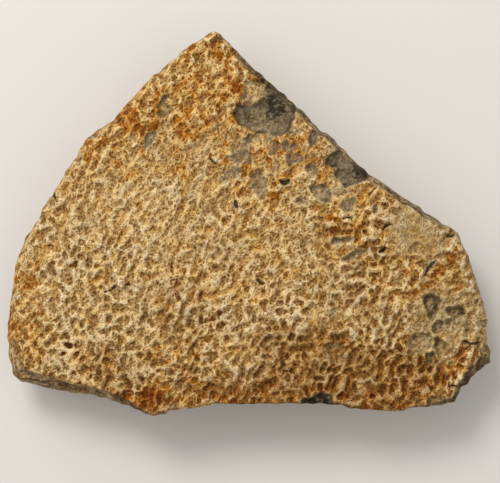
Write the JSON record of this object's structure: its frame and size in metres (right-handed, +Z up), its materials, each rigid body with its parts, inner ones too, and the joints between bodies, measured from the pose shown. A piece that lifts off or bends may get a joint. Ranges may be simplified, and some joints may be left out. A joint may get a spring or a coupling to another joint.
{
  "type": "fossil turtle shell fragment",
  "caption": "Hand-sized broken piece of fossil turtle shell: domed face of pits and ridges, flaked hollows, broken edges all round and a flat patch to rest on.",
  "frame": {"origin": "centre of the bounding box on the plane that the piece rests on", "axes": "+X along the longest side to the right of the sculptured face, +Y towards the tip, +Z up out of the sculptured face"},
  "size_m": [0.1118, 0.0882, 0.0233],
  "materials": {
    "fossil_bone": "dry mineralised bone, matt, cream ridges over tan pits with ochre and rust stains, grey where flaked"
  },
  "bodies": {
    "root": {"turtle_shell": "fossil_bone"}
  },
  "joints": []
}
